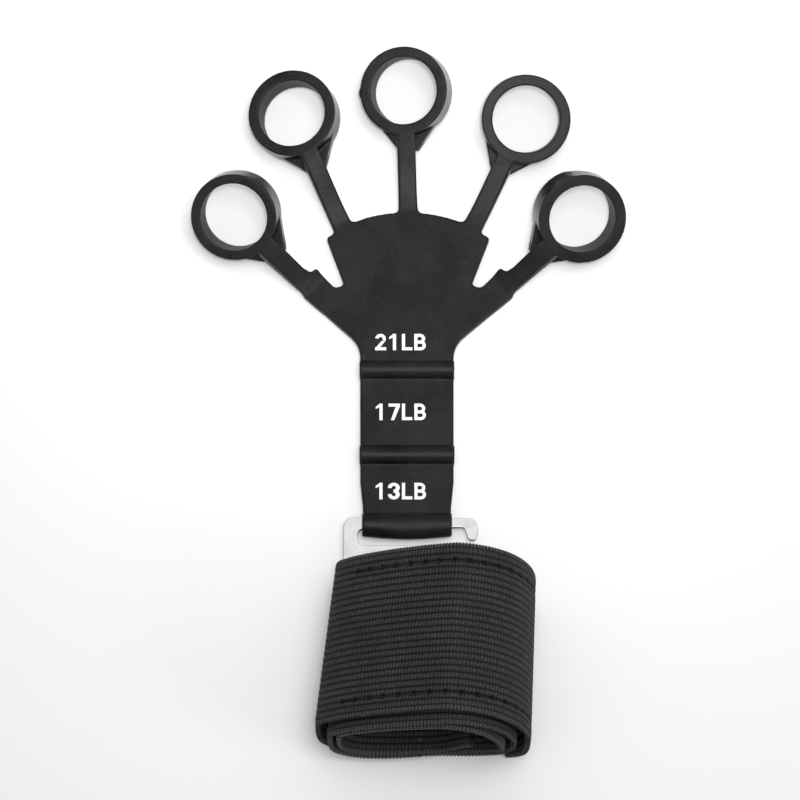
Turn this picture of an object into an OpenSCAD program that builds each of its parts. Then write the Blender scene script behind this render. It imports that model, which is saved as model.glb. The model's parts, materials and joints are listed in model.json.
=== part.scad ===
// Finger exerciser: an elastic silicone hand with five finger loops and a neck with three resistance
// tunnels, a steel hook buckle, and an elastic wrist strap rolled up for storage.
// It lies on its back with its fingers towards +Y. Millimetres.

/* [Finger loops] */
// Inner radius of a finger loop
loop_inner_r = 10.15; // [9.5:0.05:10.5]
// Outer radius of a finger loop
loop_outer_r = 13; // [12.5:0.1:13.2]
// Height of a finger loop along its bore
loop_h = 9.5; // [9:0.1:10]

/* [Finger straps] */
// Width of a finger strap where it meets its loop
strap_w = 5.3; // [4.5:0.1:6]
// Width of a middle finger's strap at the palm
root_w = 6.2; // [5.5:0.1:6.6]
// Width of an outer finger's strap at the palm
wide_root_w = 7.6; // [7:0.1:8]
// Furthest a strap bends up from rest, degrees
flex_up = 40; // [20:1:40]
// Furthest a strap bends down from rest, degrees
flex_down = 50; // [20:1:50]

/* [Palm and neck] */
// Thickness of the silicone sheet
sheet_t = 3; // [2.6:0.1:3.2]
// Width of the neck
neck_w = 27.9; // [26:0.1:28]
// Outer radius of a middle tunnel
tunnel_outer_r = 2.8; // [2.8:0.05:3]
// Bore radius of a middle tunnel
tunnel_r = 2; // [1.9:0.05:2.1]
// Outer radius of the end tunnel
end_outer_r = 3.5; // [3.4:0.05:3.6]
// Bore radius of the end tunnel
end_r = 2.5; // [2.45:0.05:2.6]

/* [Hook buckle] */
// Thickness of the steel plate
plate_t = 1.5; // [1.2:0.1:1.6]
// Width of the arm that goes through a tunnel
arm_w = 3.54; // [3:0.01:3.6]
// Width of the posts at the sides
post_w = 4.1; // [3.8:0.1:4.1]

/* [Wrist strap] */
// Width of the elastic
elastic_w = 50; // [48:0.5:51]
// Thickness of the elastic
elastic_t = 1.8; // [1.5:0.1:1.8]
// Angle between the rolled strap and the neck
roll_yaw = 4.5; // [3:0.5:5]
// Width of the folded webbing tab
tab_w = 30.6; // [28:0.1:31]
// Width of the hook tape
tape_w = 38; // [36:0.5:40]

/* [Hidden] */
$fn = 72;

// The object's own middle, so that the origin is under the centre of its box.
middle = [-0.27, -1.52];

// Clearances: between pieces that move, and round a turning knuckle.
gap = 0.3;
run = 0.08;

neck_x = -0.3;
tunnel_y = [9.4, -17.4, -39.5];
tunnel_len = 28.4;
band_cut = 2;

// One row a finger: root on the palm, middle of its loop, lean of the loop and the heading of the lean.
FINGERS = [
  [[-26.8, 34.0], [-52.2, 53.6], 31.4, -107.6, wide_root_w],
  [[-19.1, 54.4], [-35.1, 88.3], 13.5, -144.3, root_w],
  [[0.2, 58.6], [-1.4, 95.1], 20.3, -123.0, root_w],
  [[18.9, 54.4], [35.6, 85.6], 22.8, -85.4, root_w],
  [[26.5, 34.0], [52.3, 52.9], 34.0, -69.1, wide_root_w]
];
knuckle_r = sheet_t / 2;
stub_end = 15;
gusset_tip = 17.6;
gusset_foot = 46;
gusset_top = 4.6;
gusset_bottom = 8;

// Plate: the hook buckle's edges, and its height above the ground.
buckle_x = [-19, 20.8];
buckle_y = [-56.4, -37.2];
mid_bar_y = [-49.9, -46.1];
lower_bar_w = 3.5;
mouth_h = 1.8;
tip_w = 3.9;
corner_r = 2;
buckle_z = end_outer_r;
bar_y = buckle_y[0] + lower_bar_w / 2;

// Roll: distance from the middle of the roll to the strap's outer face, at each quarter turn from the
// free end under the right side: down, right, up, left, and so on inwards.
ROLL = [26, 31.5, 26, 31.4, 24, 27.4, 20.5, 27.7, 19.6, 24.1, 18.2, 25.2, 17.5, 16.5];
// Bend of each quarter: 1 is straight, 2 is round and 5 is nearly square.
BEND = [5, 1.8, 1.25, 5, 5, 1.8, 1.3, 5, 5, 1.8, 1.3, 5, 2];
roll_middle = [4.2, -109.7, 24];
// How far each turn's crown leans to the right.
crown_lean = 7;
// Turns of the spiral at which the wrist strap's solid is shared out.
outer_turn_end = 362;
middle_turn_end = 722;
free_end = -55;
peel_turn = 2;
inner_end = 1056;
turn_step = 6;
tape_t = 1;
tape_inner_end = 150;
tab_loop_r = 2.05;
tab_t = 1.1;
tail_z = [3, 4.2];
tail_end = -96;

// Stitches along both long edges of the hook tape.
stitch_pitch = 8;
stitch_row = 5.2;
stitch_len = 2.6;
stitch_w = 0.45;

// Marks: height, stroke and thickness of the printed numbers.
mark_h = 5.2;
mark_stroke = 0.95;
mark_t = 0.12;
mark_x = -2.2;
mark_pitch = 4;

// ---------- helpers ----------

module lay() {
  translate([-middle[0], -middle[1], 0]) children();
}

function unit(v) = v / norm(v);
function loop_normal(f) = [sin(f[2]) * cos(f[3]), sin(f[2]) * sin(f[3]), cos(f[2])];
function loop_middle(f) = [f[1][0], f[1][1], loop_h * cos(f[2]) + loop_outer_r * sin(f[2])];
function root_middle(f) = [f[0][0], f[0][1], sheet_t / 2];
function flatten_to(v, n) = v - n * (v * n);
function loop_reach(f) = unit(flatten_to(root_middle(f) - loop_middle(f), loop_normal(f)));
function strap_top(f) = loop_middle(f) + loop_reach(f) * stub_end - loop_normal(f) * sheet_t / 2;
function heading(f) = atan2(f[1][1] - f[0][1], f[1][0] - f[0][0]);
function rise(f) = asin(unit(strap_top(f) - root_middle(f))[2]);

// Frame of a loop: +Z out of its front face, +X along the face towards the palm.
module at_loop(f) {
  n = loop_normal(f);
  u = loop_reach(f);
  v = cross(n, u);
  c = loop_middle(f);
  multmatrix([
    [u[0], v[0], n[0], c[0]],
    [u[1], v[1], n[1], c[1]],
    [u[2], v[2], n[2], c[2]],
    [0, 0, 0, 1]
  ]) children();
}

// Frame of a strap's root: +X out along the strap, +Y along the crease.
module at_root(f) {
  translate(root_middle(f)) rotate([0, 0, heading(f)]) children();
}

module along_x(r, len) {
  rotate([0, 90, 0]) cylinder(r = r, h = len, center = true);
}

// ---------- silicone hand ----------

// Right half of the palm's outline, from the neck up to the middle finger.
function palm_top(a) = [44.2 * sin(a), 15.4 + 44.2 * cos(a)];

module palm_half() {
  polygon(concat(
    [[0, tunnel_y[0]], [neck_w / 2, tunnel_y[0]], [neck_w / 2, 13]],
    [for (a = [0:15:45]) [22.8 - 8.85 * cos(a), 13.6 + 8.85 * sin(a)]],
    [[29.9, 31.6], [24.2, 38.2], [22.6, 36.3], [21.6, 36.2], [20.2, 37.2], [19.7, 38.8]],
    [[24.7, 51.2], [24.4, 52.2], [22.4, 53.6]],
    [for (a = [21:-3:0]) palm_top(a)]
  ));
}

// The room a strap's knuckle and its bend need in the palm.
module crease(f) {
  up = 94 + rise(f) + flex_up;
  down = 94 - rise(f) + flex_down;
  far = 12;
  at_root(f) rotate([90, 0, 0]) {
    cylinder(r = knuckle_r + run, h = f[4] + 2 * gap, center = true);
    linear_extrude(f[4] + 2 * gap, center = true)
      polygon([
        [0, 0], [far * cos(up), far * sin(up)], [0, far], [far, far],
        [far, -far], [0, -far], [far * cos(down), -far * sin(down)]
      ]);
  }
}

module tunnel(i, outer_r) {
  translate([neck_x, tunnel_y[i], outer_r]) along_x(outer_r, tunnel_len);
}

module tunnel_bore(i, outer_r, r) {
  translate([neck_x, tunnel_y[i], outer_r]) along_x(r, tunnel_len + 2);
}

module palm_plate() color("#1b1b1c") lay() {
  difference() {
    union() {
      translate([neck_x, 0, 0]) linear_extrude(sheet_t) {
        palm_half();
        mirror([1, 0, 0]) palm_half();
      }
      tunnel(0, tunnel_outer_r);
    }
    tunnel_bore(0, tunnel_outer_r, tunnel_r);
    for (f = FINGERS) crease(f);
  }
}

// Sheet between two tunnels. Its upper end is hollowed to turn round the tunnel above it.
module band(i, outer_r, r) {
  top = tunnel_y[i - 1] - band_cut;
  difference() {
    union() {
      translate([neck_x - neck_w / 2, tunnel_y[i], 0]) cube([neck_w, top - tunnel_y[i], sheet_t]);
      tunnel(i, outer_r);
    }
    tunnel_bore(i, outer_r, r);
    translate([neck_x, tunnel_y[i - 1], tunnel_outer_r]) along_x(tunnel_outer_r + run, tunnel_len + 2);
  }
}

module band_17() color("#1b1b1c") lay() band(1, tunnel_outer_r, tunnel_r);
module band_13() color("#1b1b1c") lay() band(2, end_outer_r, end_r);

module finger_strap(i) color("#1f1f20") lay() {
  f = FINGERS[i];
  hull() {
    at_root(f) rotate([90, 0, 0]) cylinder(r = knuckle_r, h = f[4], center = true, $fn = 32);
    at_loop(f) translate([stub_end + gap, -strap_w / 2, -sheet_t]) cube([0.1, strap_w, sheet_t]);
  }
}

module finger_strap_1() finger_strap(0);
module finger_strap_2() finger_strap(1);
module finger_strap_3() finger_strap(2);
module finger_strap_4() finger_strap(3);
module finger_strap_5() finger_strap(4);

// A loop with the end of its strap and the two gussets behind it.
module finger_loop(i) color("#1b1b1c") lay() at_loop(FINGERS[i]) {
  foot = loop_outer_r * [cos(gusset_foot), sin(gusset_foot)];
  difference() {
    union() {
      translate([0, 0, -loop_h]) cylinder(r = loop_outer_r, h = loop_h);
      translate([0, -strap_w / 2, -sheet_t]) cube([stub_end, strap_w, sheet_t]);
      translate([0, 0, -gusset_bottom]) linear_extrude(gusset_bottom - gusset_top)
        polygon([
          [0, 0], [foot[0], -foot[1]], [gusset_tip, -strap_w / 2], [gusset_tip, strap_w / 2], foot
        ]);
    }
    translate([0, 0, -loop_h - 1]) cylinder(r = loop_inner_r, h = loop_h + 2);
  }
}

module finger_loop_1() finger_loop(0);
module finger_loop_2() finger_loop(1);
module finger_loop_3() finger_loop(2);
module finger_loop_4() finger_loop(3);
module finger_loop_5() finger_loop(4);

// ---------- steel hook buckle ----------

module rounded(lo, hi, r) {
  translate([lo[0] + r, lo[1]]) square([hi[0] - lo[0] - 2 * r, hi[1] - lo[1]]);
  translate([lo[0], lo[1] + r]) square([hi[0] - lo[0], hi[1] - lo[1] - 2 * r]);
  for (x = [lo[0] + r, hi[0] - r], y = [lo[1] + r, hi[1] - r]) translate([x, y]) circle(r);
}

module hook_buckle() color("#c9cbcd") lay() {
  left = buckle_x[0] + post_w;
  right = buckle_x[1] - tip_w;
  arm_y = buckle_y[1] - arm_w;
  translate([0, 0, buckle_z - plate_t / 2]) linear_extrude(plate_t) difference() {
    rounded([buckle_x[0], buckle_y[0]], [buckle_x[1], buckle_y[1]], corner_r);
    translate([left, mid_bar_y[1]]) square([right - left, arm_y - mid_bar_y[1]]);
    translate([right - 1, mid_bar_y[1]]) square([tip_w + 2, mouth_h]);
    translate([left, buckle_y[0] + lower_bar_w])
      square([right - left, mid_bar_y[0] - buckle_y[0] - lower_bar_w]);
  }
}

// ---------- wrist strap ----------

// Point on the strap's outer face at turn t, in the plane across the roll.
function power(v, n) = v <= 0 ? 0 : pow(v, 2 / n);
function roll_face(t) =
  let (
    q = floor((t + 90) / 90),
    s = t + 90 - 90 * q,
    a = ROLL[q] * power(cos(s), BEND[q]),
    b = ROLL[q + 1] * power(sin(s), BEND[q]),
    turn = (q % 4) * 90 - 90,
    z = a * sin(turn) + b * cos(turn),
    top = q % 4 == 1 ? ROLL[q + 1] : ROLL[q]
  )
  [a * cos(turn) - b * sin(turn) + crown_lean * pow(max(z, 0) / top, 2), z];
function roll_along(t) = unit(roll_face(t + 0.5) - roll_face(t - 0.5));
function roll_point(t, depth) =
  let (d = roll_along(t))
  roll_face(t) + depth * [-d[1], d[0]];

// Strip of cloth that follows the roll from turn t0 to t1, between two depths under the outer face.
module roll_strip(t0, t1, depth0, depth1, width) {
  turns = concat([for (t = [t0:turn_step:t1 - turn_step / 2]) t], [t1]);
  last = len(turns) - 1;
  at_roll() translate([0, (elastic_w - width) / 2 + width, 0]) rotate([90, 0, 0])
    linear_extrude(width) polygon(concat(
      [for (t = turns) roll_point(t, depth0)],
      [for (i = [last:-1:0]) roll_point(turns[i], depth1)]
    ));
}

module at_roll() {
  translate(roll_middle) rotate([0, 0, -roll_yaw]) children();
}

module strap_outer_turn() color("#232324") lay() {
  roll_strip(peel_turn + 0.6, outer_turn_end, 0, elastic_t, elastic_w);
}

module strap_middle_turn() color("#232324") lay() {
  roll_strip(outer_turn_end, middle_turn_end, 0, elastic_t, elastic_w);
}

module strap_inner_turn() color("#232324") lay() {
  roll_strip(middle_turn_end, inner_end, 0, elastic_t, elastic_w);
}

module strap_end() color("#232324") lay() {
  roll_strip(free_end, peel_turn, 0, elastic_t, elastic_w);
}

module hook_tape() color("#2b2b2c") lay() {
  roll_strip(peel_turn + 2, tape_inner_end, elastic_t + 0.05, elastic_t + tape_t, tape_w);
}

module hook_tape_end() color("#2b2b2c") lay() {
  roll_strip(free_end + 1, peel_turn - 1, elastic_t + 0.05, elastic_t + tape_t, tape_w);
}

// Two rows of stitches that hold the hook tape, standing on the strap's outer face.
module tape_stitches() color("#151515") lay() at_roll() {
  for (t = [peel_turn + 6:stitch_pitch:tape_inner_end], side = [-1, 1]) {
    p = roll_point(t, -0.05);
    d = roll_along(t);
    translate([p[0], elastic_w / 2 + side * (elastic_w / 2 - stitch_row), p[1]])
      rotate([0, -atan2(d[1], d[0]), 0])
      translate([-stitch_len / 2, -stitch_w / 2, -0.2]) cube([stitch_len, stitch_w, 0.2]);
  }
}

// Webbing folded round the buckle's lower bar, with its doubled tail inside the roll.
module keeper_tab() color("#202021") lay() translate([(buckle_x[0] + buckle_x[1]) / 2, 0, 0]) {
  difference() {
    union() {
      translate([0, bar_y, buckle_z]) along_x(tab_loop_r + tab_t, tab_w);
      translate([-tab_w / 2, tail_end, tail_z[0]])
        cube([tab_w, bar_y - tail_end, tail_z[1] - tail_z[0]]);
    }
    translate([0, bar_y, buckle_z]) along_x(tab_loop_r, tab_w + 2);
  }
}

// ---------- printed numbers ----------

module stroke_ring(r, h) {
  difference() {
    circle(r);
    circle(r - mark_stroke);
    translate([-2 * h, -h]) square([2 * h, 2 * h]);
  }
}

// Half ring that bulges to the right, with its flat ends run back to the left by len.
module bowl(y, r, len) {
  translate([len, y]) stroke_ring(r, mark_h);
  for (s = [r - mark_stroke, -r]) translate([0, y + s]) square([len + 0.01, mark_stroke]);
}

module glyph_1() {
  translate([1.3, 0]) square([mark_stroke, mark_h]);
  polygon([[0.2, 3.5], [0.2, 4.2], [1.5, mark_h], [2, 4.4], [1.3, 4.1]]);
}

module glyph_2() {
  r = 1.6;
  translate([1.6, mark_h - r]) difference() {
    circle(r);
    circle(r - mark_stroke);
    polygon([[0, 0], [-2, 0.3], [-2, -2], [2, -2], [2, -0.9]]);
  }
  polygon([[0, 0], [0, 0.6], [2, 3], [3, 2.9], [1.2, 0.6]]);
  square([3.3, mark_stroke]);
}

module glyph_3() {
  r = (mark_h + mark_stroke) / 4;
  for (y = [r, mark_h - r]) translate([1.6, y]) difference() {
    scale([1.15, 1]) circle(r);
    circle(r - mark_stroke);
    translate([-2, y < mark_h / 2 ? 0.1 : -1.9]) square([1.9, 1.8]);
  }
}

module glyph_7() {
  translate([0, mark_h - mark_stroke]) square([3.4, mark_stroke]);
  polygon([[0.7, 0], [1.7, 0], [3.4, 4.3], [3.4, 4.6], [2.3, 4.6]]);
}

module glyph_l() {
  square([mark_stroke, mark_h]);
  square([3.1, mark_stroke]);
}

module glyph_b() {
  r = (mark_h + mark_stroke) / 4;
  square([mark_stroke, mark_h]);
  bowl(r, r, 1.9);
  bowl(mark_h - r, r, 1.7);
}

// Number and unit, centred on the neck at height y.
module mark(y) {
  translate([mark_x - 2 * mark_pitch + 0.4, y - mark_h / 2, sheet_t]) linear_extrude(mark_t) {
    children(0);
    translate([mark_pitch, 0]) children(1);
    translate([2 * mark_pitch, 0]) glyph_l();
    translate([3 * mark_pitch - 0.3, 0]) glyph_b();
  }
}

module mark_21lb() color("white") lay() mark(18.2) {
  glyph_2();
  glyph_1();
}

module mark_17lb() color("white") lay() mark(-3.9) {
  glyph_1();
  glyph_7();
}

module mark_13lb() color("white") lay() mark(-28.8) {
  glyph_1();
  glyph_3();
}

palm_plate();
band_17();
band_13();
finger_strap_1();
finger_strap_2();
finger_strap_3();
finger_strap_4();
finger_strap_5();
finger_loop_1();
finger_loop_2();
finger_loop_3();
finger_loop_4();
finger_loop_5();
hook_buckle();
keeper_tab();
strap_outer_turn();
strap_middle_turn();
strap_inner_turn();
strap_end();
hook_tape();
hook_tape_end();
tape_stitches();
mark_21lb();
mark_17lb();
mark_13lb();
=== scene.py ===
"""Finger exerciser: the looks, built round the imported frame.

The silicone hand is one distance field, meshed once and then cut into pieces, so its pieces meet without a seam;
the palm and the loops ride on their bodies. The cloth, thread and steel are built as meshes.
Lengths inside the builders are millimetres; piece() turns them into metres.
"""

import json
import math

import bpy
import numpy as np
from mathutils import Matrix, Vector
from mathutils.geometry import tessellate_polygon


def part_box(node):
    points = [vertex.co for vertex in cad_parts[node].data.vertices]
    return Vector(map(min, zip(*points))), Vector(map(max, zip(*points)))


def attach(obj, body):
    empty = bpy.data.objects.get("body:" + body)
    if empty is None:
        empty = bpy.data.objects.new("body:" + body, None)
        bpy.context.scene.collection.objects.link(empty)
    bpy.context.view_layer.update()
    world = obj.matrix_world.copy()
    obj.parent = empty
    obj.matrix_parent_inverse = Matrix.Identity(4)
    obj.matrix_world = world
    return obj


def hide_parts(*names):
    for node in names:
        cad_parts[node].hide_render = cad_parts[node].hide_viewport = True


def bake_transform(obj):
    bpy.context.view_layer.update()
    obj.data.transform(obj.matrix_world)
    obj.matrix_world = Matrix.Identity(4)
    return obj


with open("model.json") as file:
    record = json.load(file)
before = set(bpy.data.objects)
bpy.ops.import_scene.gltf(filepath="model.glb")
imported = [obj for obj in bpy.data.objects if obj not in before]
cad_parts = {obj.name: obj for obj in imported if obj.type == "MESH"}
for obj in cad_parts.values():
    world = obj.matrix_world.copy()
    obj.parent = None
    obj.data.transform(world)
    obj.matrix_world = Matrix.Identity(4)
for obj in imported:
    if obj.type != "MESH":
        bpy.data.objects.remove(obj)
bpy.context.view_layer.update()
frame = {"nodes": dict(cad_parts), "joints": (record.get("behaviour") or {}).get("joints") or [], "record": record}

MM = 0.001
SEED = 7
JOINTS = {j["name"]: j for j in frame["joints"]}
MOUNTS = {m["name"]: m for m in frame["record"]["mounts"]}


def mm(point):
    """A point of the frame as an array in millimetres."""
    return np.array(point, float) / MM


def unit(v):
    return v / np.linalg.norm(v)


# The elastic: its width, thickness, selvedges, ribs along it and picks of yarn across it.
ELASTIC_WIDTH = 50.0
ELASTIC = 1.8
SELVEDGE = 1.2
RIBS = 24
RIB = (ELASTIC_WIDTH - 2 * SELVEDGE) / RIBS
PICK = 1.07
# How deep the grooves between its ribs are, and how many steps a rib's mesh has across.
RIB_DEPTH = 0.3
RIB_STEPS = 6
# The rows of stitches that hold the hook tape: spacing of needle holes, distance in, and length.
STITCH_PITCH = 5.0
STITCH_ROW = SELVEDGE + 2 * RIB
STITCHED_LENGTH = 75.0
# The hook tape's width and thickness.
TAPE_WIDTH = 38.0
TAPE = 0.9

# ---------------- materials


class Nodes:
    """A material's node tree, with short calls for what these materials use."""

    def __init__(self, name, base, roughness, **constants):
        self.material = bpy.data.materials.new(name)
        self.material.use_nodes = True
        self.tree = self.material.node_tree
        self.shader = self.tree.nodes["Principled BSDF"]
        self.shader.inputs["Base Color"].default_value = (*base, 1)
        self.shader.inputs["Roughness"].default_value = roughness
        for key, value in constants.items():
            self.shader.inputs[key.replace("_", " ")].default_value = value

    def add(self, kind, inputs=(), **settings):
        node = self.tree.nodes.new(kind)
        for key, value in settings.items():
            setattr(node, key, value)
        for key, value in dict(inputs).items():
            self.join(value, node.inputs[key])
        return node

    def join(self, value, socket):
        if isinstance(value, bpy.types.NodeSocket):
            self.tree.links.new(value, socket)
        else:
            socket.default_value = value

    def place(self, scale=(1, 1, 1), uv=False):
        """The surface's own place in metres, or its UV in millimetres, stretched by scale."""
        coords = self.add("ShaderNodeTexCoord")
        source = coords.outputs["UV" if uv else "Object"]
        return self.add("ShaderNodeMapping", {"Vector": source, "Scale": scale}).outputs[0]

    def noise(self, vector, scale, detail=2.0, rough=0.5):
        inputs = {"Vector": vector, "Scale": scale, "Detail": detail, "Roughness": rough}
        return self.add("ShaderNodeTexNoise", inputs).outputs["Fac"]

    def math(self, operation, a, b=0.0, c=0.0):
        node = self.add("ShaderNodeMath", operation=operation)
        for socket, value in zip(node.inputs, (a, b, c)):
            self.join(value, socket)
        return node.outputs[0]

    def ramp(self, value, low, high, start, end):
        """value from low to high becomes start to end, held outside."""
        inputs = {"Value": value, "From Min": low, "From Max": high, "To Min": start, "To Max": end}
        return self.add("ShaderNodeMapRange", inputs).outputs["Result"]

    def colours(self, value, first, second):
        """A mix of two colours, each of them an (r, g, b) or a socket."""
        node = self.add("ShaderNodeMix", data_type="RGBA")
        self.join(value, node.inputs["Factor"])
        for colour, socket in ((first, node.inputs[6]), (second, node.inputs[7])):
            self.join((*colour, 1) if isinstance(colour, tuple) else colour, socket)
        return node.outputs[2]

    def bump(self, height, strength, distance, normal=None):
        inputs = {"Height": height, "Strength": strength, "Distance": distance}
        node = self.add("ShaderNodeBump", inputs)
        if normal is not None:
            self.join(normal, node.inputs["Normal"])
        return node.outputs[0]

    def finish(self, colour=None, roughness=None, normal=None):
        for key, value in (("Base Color", colour), ("Roughness", roughness), ("Normal", normal)):
            if value is not None:
                self.join(value, self.shader.inputs[key])
        return self.material


def silicone():
    """Black moulded silicone: matt grain on its faces, with the walls of its loops polished."""
    m = Nodes("silicone", (0.008, 0.008, 0.0083), 0.46, IOR=1.46, Specular_IOR_Level=0.24)
    where = m.place()
    cloudy = m.noise(where, 60, 5, 0.65)
    grain = m.noise(where, 2300, 2)
    dust = m.ramp(m.noise(where, 900, 1, 0.3), 0.74, 0.82, 0, 1)
    polish_and_painted_shade = m.add("ShaderNodeAttribute", attribute_name="polish_and_painted_shade").outputs["Fac"]
    tone = m.colours(m.ramp(cloudy, 0.35, 0.65, 0, 1), (0.002, 0.002, 0.0021), (0.0125, 0.0125, 0.0128))
    colour = m.colours(dust, tone, (0.028, 0.028, 0.028))
    matt = m.math("MULTIPLY_ADD", cloudy, 0.3, 0.34)
    rough = m.math("MULTIPLY_ADD", polish_and_painted_shade, -0.3, matt)
    normal = m.bump(grain, 0.5, 0.0001, m.bump(cloudy, 0.5, 0.0008))
    return m.finish(colour, rough, normal)


def print_ink():
    """Flat white screen print with a little of the grain below it."""
    m = Nodes("print_ink", (0.86, 0.86, 0.86), 0.55)
    where = m.place()
    patch = m.noise(where, 1400, 3)
    colour = m.colours(patch, (0.78, 0.78, 0.78), (0.92, 0.92, 0.92))
    return m.finish(colour, m.math("MULTIPLY_ADD", patch, 0.2, 0.45), m.bump(patch, 0.3, 0.00005))


def steel():
    """Bright stamped steel with faint rolling lines, and painted shade on the walls of its edges."""
    m = Nodes("bright_steel", (0.8, 0.805, 0.81), 0.25, Metallic=1.0)
    lines = m.noise(m.place((40, 2600, 40)), 1, 4)
    marks = m.noise(m.place(), 260, 4)
    rough = m.math("MULTIPLY_ADD", marks, 0.2, 0.16)
    bright = m.colours(marks, (0.61, 0.615, 0.62), (0.7, 0.705, 0.71))
    polish_and_painted_shade = m.add("ShaderNodeAttribute", attribute_name="polish_and_painted_shade").outputs["Fac"]
    # The edge walls take a near-black colour as painted shade; the flat faces keep the bright steel.
    colour = m.colours(polish_and_painted_shade, (0.1, 0.1, 0.1), bright)
    normal = m.bump(lines, 0.12, 0.00003, m.bump(marks, 0.1, 0.0001))
    return m.finish(colour, rough, normal)


def woven(name, dark, light, selvedge, rib, pitch, width, seam=None):
    """Black elastic or webbing: slanted yarns across ribs that run the cloth's length, with painted shade in the
    grooves and between the picks and a painted highlight on each pick.

    The UV is (millimetres along, millimetres across). seam is its distance in from both edges, the
    spacing of its needle holes and how far along it runs."""
    m = Nodes(name, light, 0.7, Specular_IOR_Level=0.22)
    where = m.place()
    parts = m.add("ShaderNodeSeparateXYZ", {"Vector": m.place(uv=True)})
    along, across = parts.outputs[0], parts.outputs[1]
    side = m.math("DIVIDE", m.math("SUBTRACT", across, selvedge), rib)
    lean = m.math("MULTIPLY", m.math("FRACT", side), 0.42)
    drift = m.math("MULTIPLY", m.noise(where, 420, 2), 1.3)
    turn = m.math("ADD", m.math("DIVIDE", along, pitch), m.math("ADD", lean, drift))
    pick = m.ramp(m.math("SINE", m.math("MULTIPLY", turn, 2 * math.pi)), -0.55, 0.9, 0, 1)
    in_rib = m.ramp(m.math("PINGPONG", side, 0.5), 0.03, 0.3, 0, 1)
    edge = m.math("MINIMUM", across, m.math("SUBTRACT", width, across))
    at_edge = m.ramp(edge, selvedge, selvedge - 0.2, 0, 1)
    valley = m.math("MAXIMUM", in_rib, at_edge)
    fuzz = m.noise(where, 1500, 3)
    cloudy = m.noise(where, 90, 3)
    yarn = m.math("MULTIPLY", pick, valley)
    height = m.math("ADD", yarn, m.math("MULTIPLY", fuzz, 0.5))
    # Painted shade: black in the grooves between the ribs, and darker between the picks than on their crests,
    # which carry a painted highlight.
    shade = m.math("MULTIPLY", m.math("MULTIPLY_ADD", pick, 0.62, 0.25), valley)
    fuzzy = m.ramp(fuzz, 0.3, 0.7, 0.6, 1.35)
    mottle = m.math("MULTIPLY", m.math("MULTIPLY_ADD", cloudy, 0.8, 0.55), fuzzy)
    # Painted highlight on the picks of the looped selvedges.
    lit_loops = m.math("MULTIPLY_ADD", m.math("MULTIPLY", at_edge, pick), 2.6, 1.0)
    tone = m.math("MULTIPLY", shade, m.math("MULTIPLY", mottle, lit_loops))
    if seam:
        # The needle holes and the furrow along each row of stitches are darkened: painted shade.
        row, gap, last = seam
        off = m.math("ABSOLUTE", m.math("SUBTRACT", edge, row))
        phase = m.math("PINGPONG", m.math("DIVIDE", along, gap), 0.5)
        hole = m.math("MULTIPLY", m.ramp(phase, 0.07, 0.16, 1, 0), m.ramp(off, 0.6, 1.0, 1, 0))
        drawn = m.math("MAXIMUM", m.ramp(off, 0.3, 0.6, 0.65, 0), hole)
        sewn = m.ramp(along, last, last + 0.5, 1, 0)
        tone = m.math("MULTIPLY", tone, m.math("SUBTRACT", 1.0, m.math("MULTIPLY", drawn, sewn)))
    normal = m.bump(height, 0.6, 0.0002)
    return m.finish(m.colours(tone, dark, light), m.math("MULTIPLY_ADD", fuzz, 0.2, 0.6), normal)


def hook_nylon():
    """Nylon hook tape: rows of tiny bent hooks on a woven ground."""
    m = Nodes("hook_nylon", (0.02, 0.02, 0.021), 0.45)
    cells = m.add("ShaderNodeTexVoronoi", {"Vector": m.place(uv=True), "Scale": 1.1})
    hook = m.ramp(cells.outputs["Distance"], 0.0, 0.45, 1, 0)
    colour = m.colours(hook, (0.008, 0.008, 0.0085), (0.05, 0.05, 0.052))
    return m.finish(colour, None, m.bump(hook, 1.0, 0.0005))


def thread():
    """Matt twisted sewing thread."""
    m = Nodes("sewing_thread", (0.008, 0.008, 0.009), 0.7)
    twist = m.add("ShaderNodeTexWave", {"Vector": m.place(), "Scale": 900.0, "Distortion": 1.0})
    colour = m.colours(twist.outputs["Fac"], (0.004, 0.004, 0.0045), (0.018, 0.018, 0.019))
    return m.finish(colour, None, m.bump(twist.outputs["Fac"], 0.5, 0.0001))


def pale_floor():
    """Pale matt table with the faintest mottle."""
    m = Nodes("pale_floor", (0.9, 0.9, 0.9), 0.75)
    mottle = m.noise(m.place(), 6, 3)
    return m.finish(m.colours(mottle, (0.89, 0.89, 0.89), (0.91, 0.91, 0.91)))


MATERIALS = {
    "silicone": silicone(),
    "print": print_ink(),
    "steel": steel(),
    "elastic": woven("ribbed_elastic", (0.0022, 0.0022, 0.0023), (0.052, 0.052, 0.053), SELVEDGE,
                     RIB, PICK, ELASTIC_WIDTH, (STITCH_ROW, STITCH_PITCH, STITCHED_LENGTH)),
    "webbing": woven("close_webbing", (0.002, 0.002, 0.0022), (0.045, 0.045, 0.046),
                     selvedge=0.6, rib=1.2, pitch=0.9, width=30.4),
    "hook_tape": hook_nylon(),
    "thread": thread(),
}


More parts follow.
